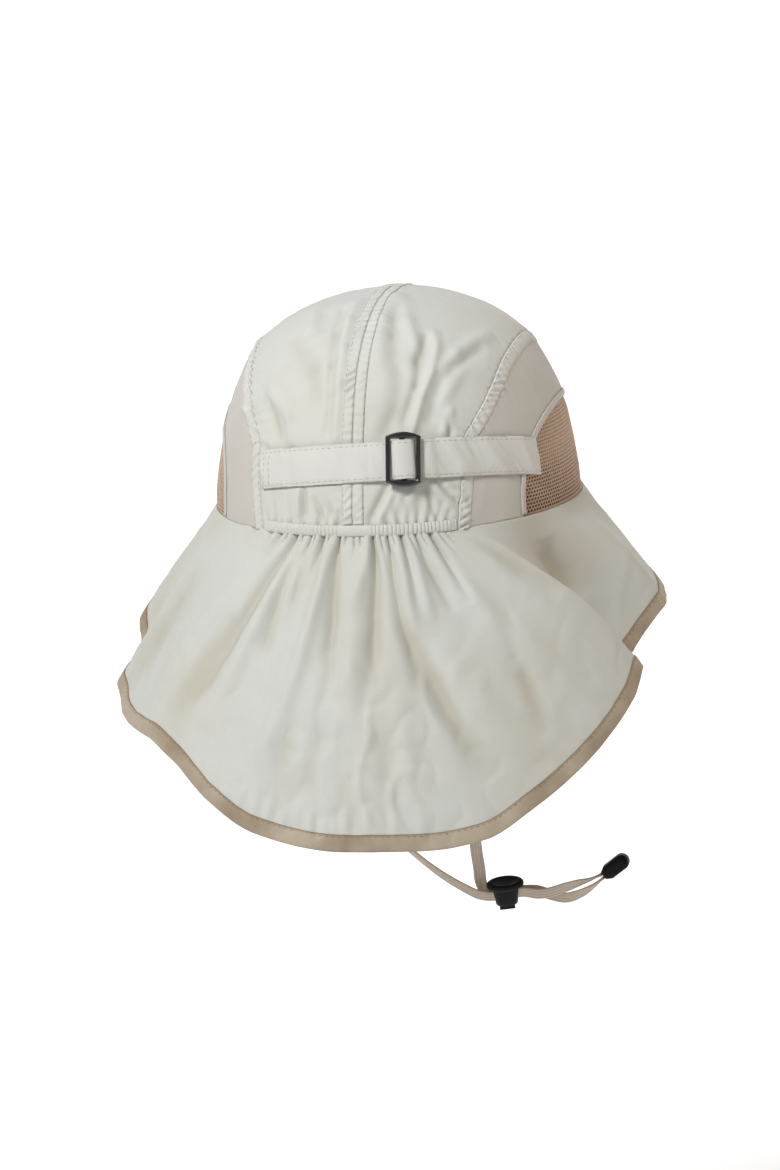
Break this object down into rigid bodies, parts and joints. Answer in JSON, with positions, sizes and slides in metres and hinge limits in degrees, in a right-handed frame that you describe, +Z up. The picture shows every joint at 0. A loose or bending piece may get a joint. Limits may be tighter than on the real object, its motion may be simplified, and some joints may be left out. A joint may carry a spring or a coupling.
{
  "type": "sun hat with neck flap",
  "caption": "Soft sun hat with a rounded crown, mesh side windows, long gathered neck flap, front brim, adjusting back strap with slide buckle and a chin cord with a spring lock.",
  "frame": {"origin": "centre of the head opening, in the plane where the crown meets the flap and the brim", "axes": "+Z up through the crown, +X towards the wearer's left, -Y towards the front brim"},
  "size_m": [0.2717, 0.3487, 0.3266],
  "materials": {
    "crown_cloth": "soft plain weave",
    "side_cloth": "soft plain weave",
    "mesh": "open knitted mesh",
    "binding_tape": "ribbed tape",
    "webbing": "stitched cloth strap",
    "cord_elastic": "ribbed flat elastic",
    "black_plastic": "moulded gloss"
  },
  "bodies": {
    "hat": {"crown_left": "crown_cloth", "crown_right": "crown_cloth", "side_panel_left": "side_cloth", "side_panel_right": "side_cloth", "mesh_panel_left": "mesh", "mesh_panel_right": "mesh", "elastic_casing": "crown_cloth", "neck_flap": "crown_cloth", "brim": "crown_cloth", "flap_binding": "binding_tape", "brim_binding": "binding_tape", "back_strap": "webbing", "buckle_tab": "webbing", "slide_buckle": "black_plastic", "chin_cord_left": "cord_elastic", "chin_cord_right": "cord_elastic", "cord_lock_barrel": "black_plastic", "cord_end": "black_plastic"},
    "lock_button": {"cord_lock_button": "black_plastic"}
  },
  "joints": [
    {"name": "lock_button_press", "type": "slide", "parent": "hat", "child": "lock_button", "axis": [-0.0253, 0.3951, 0.9183], "range_m": [0, 0.0022], "stiffness_N_per_m": 400}
  ]
}
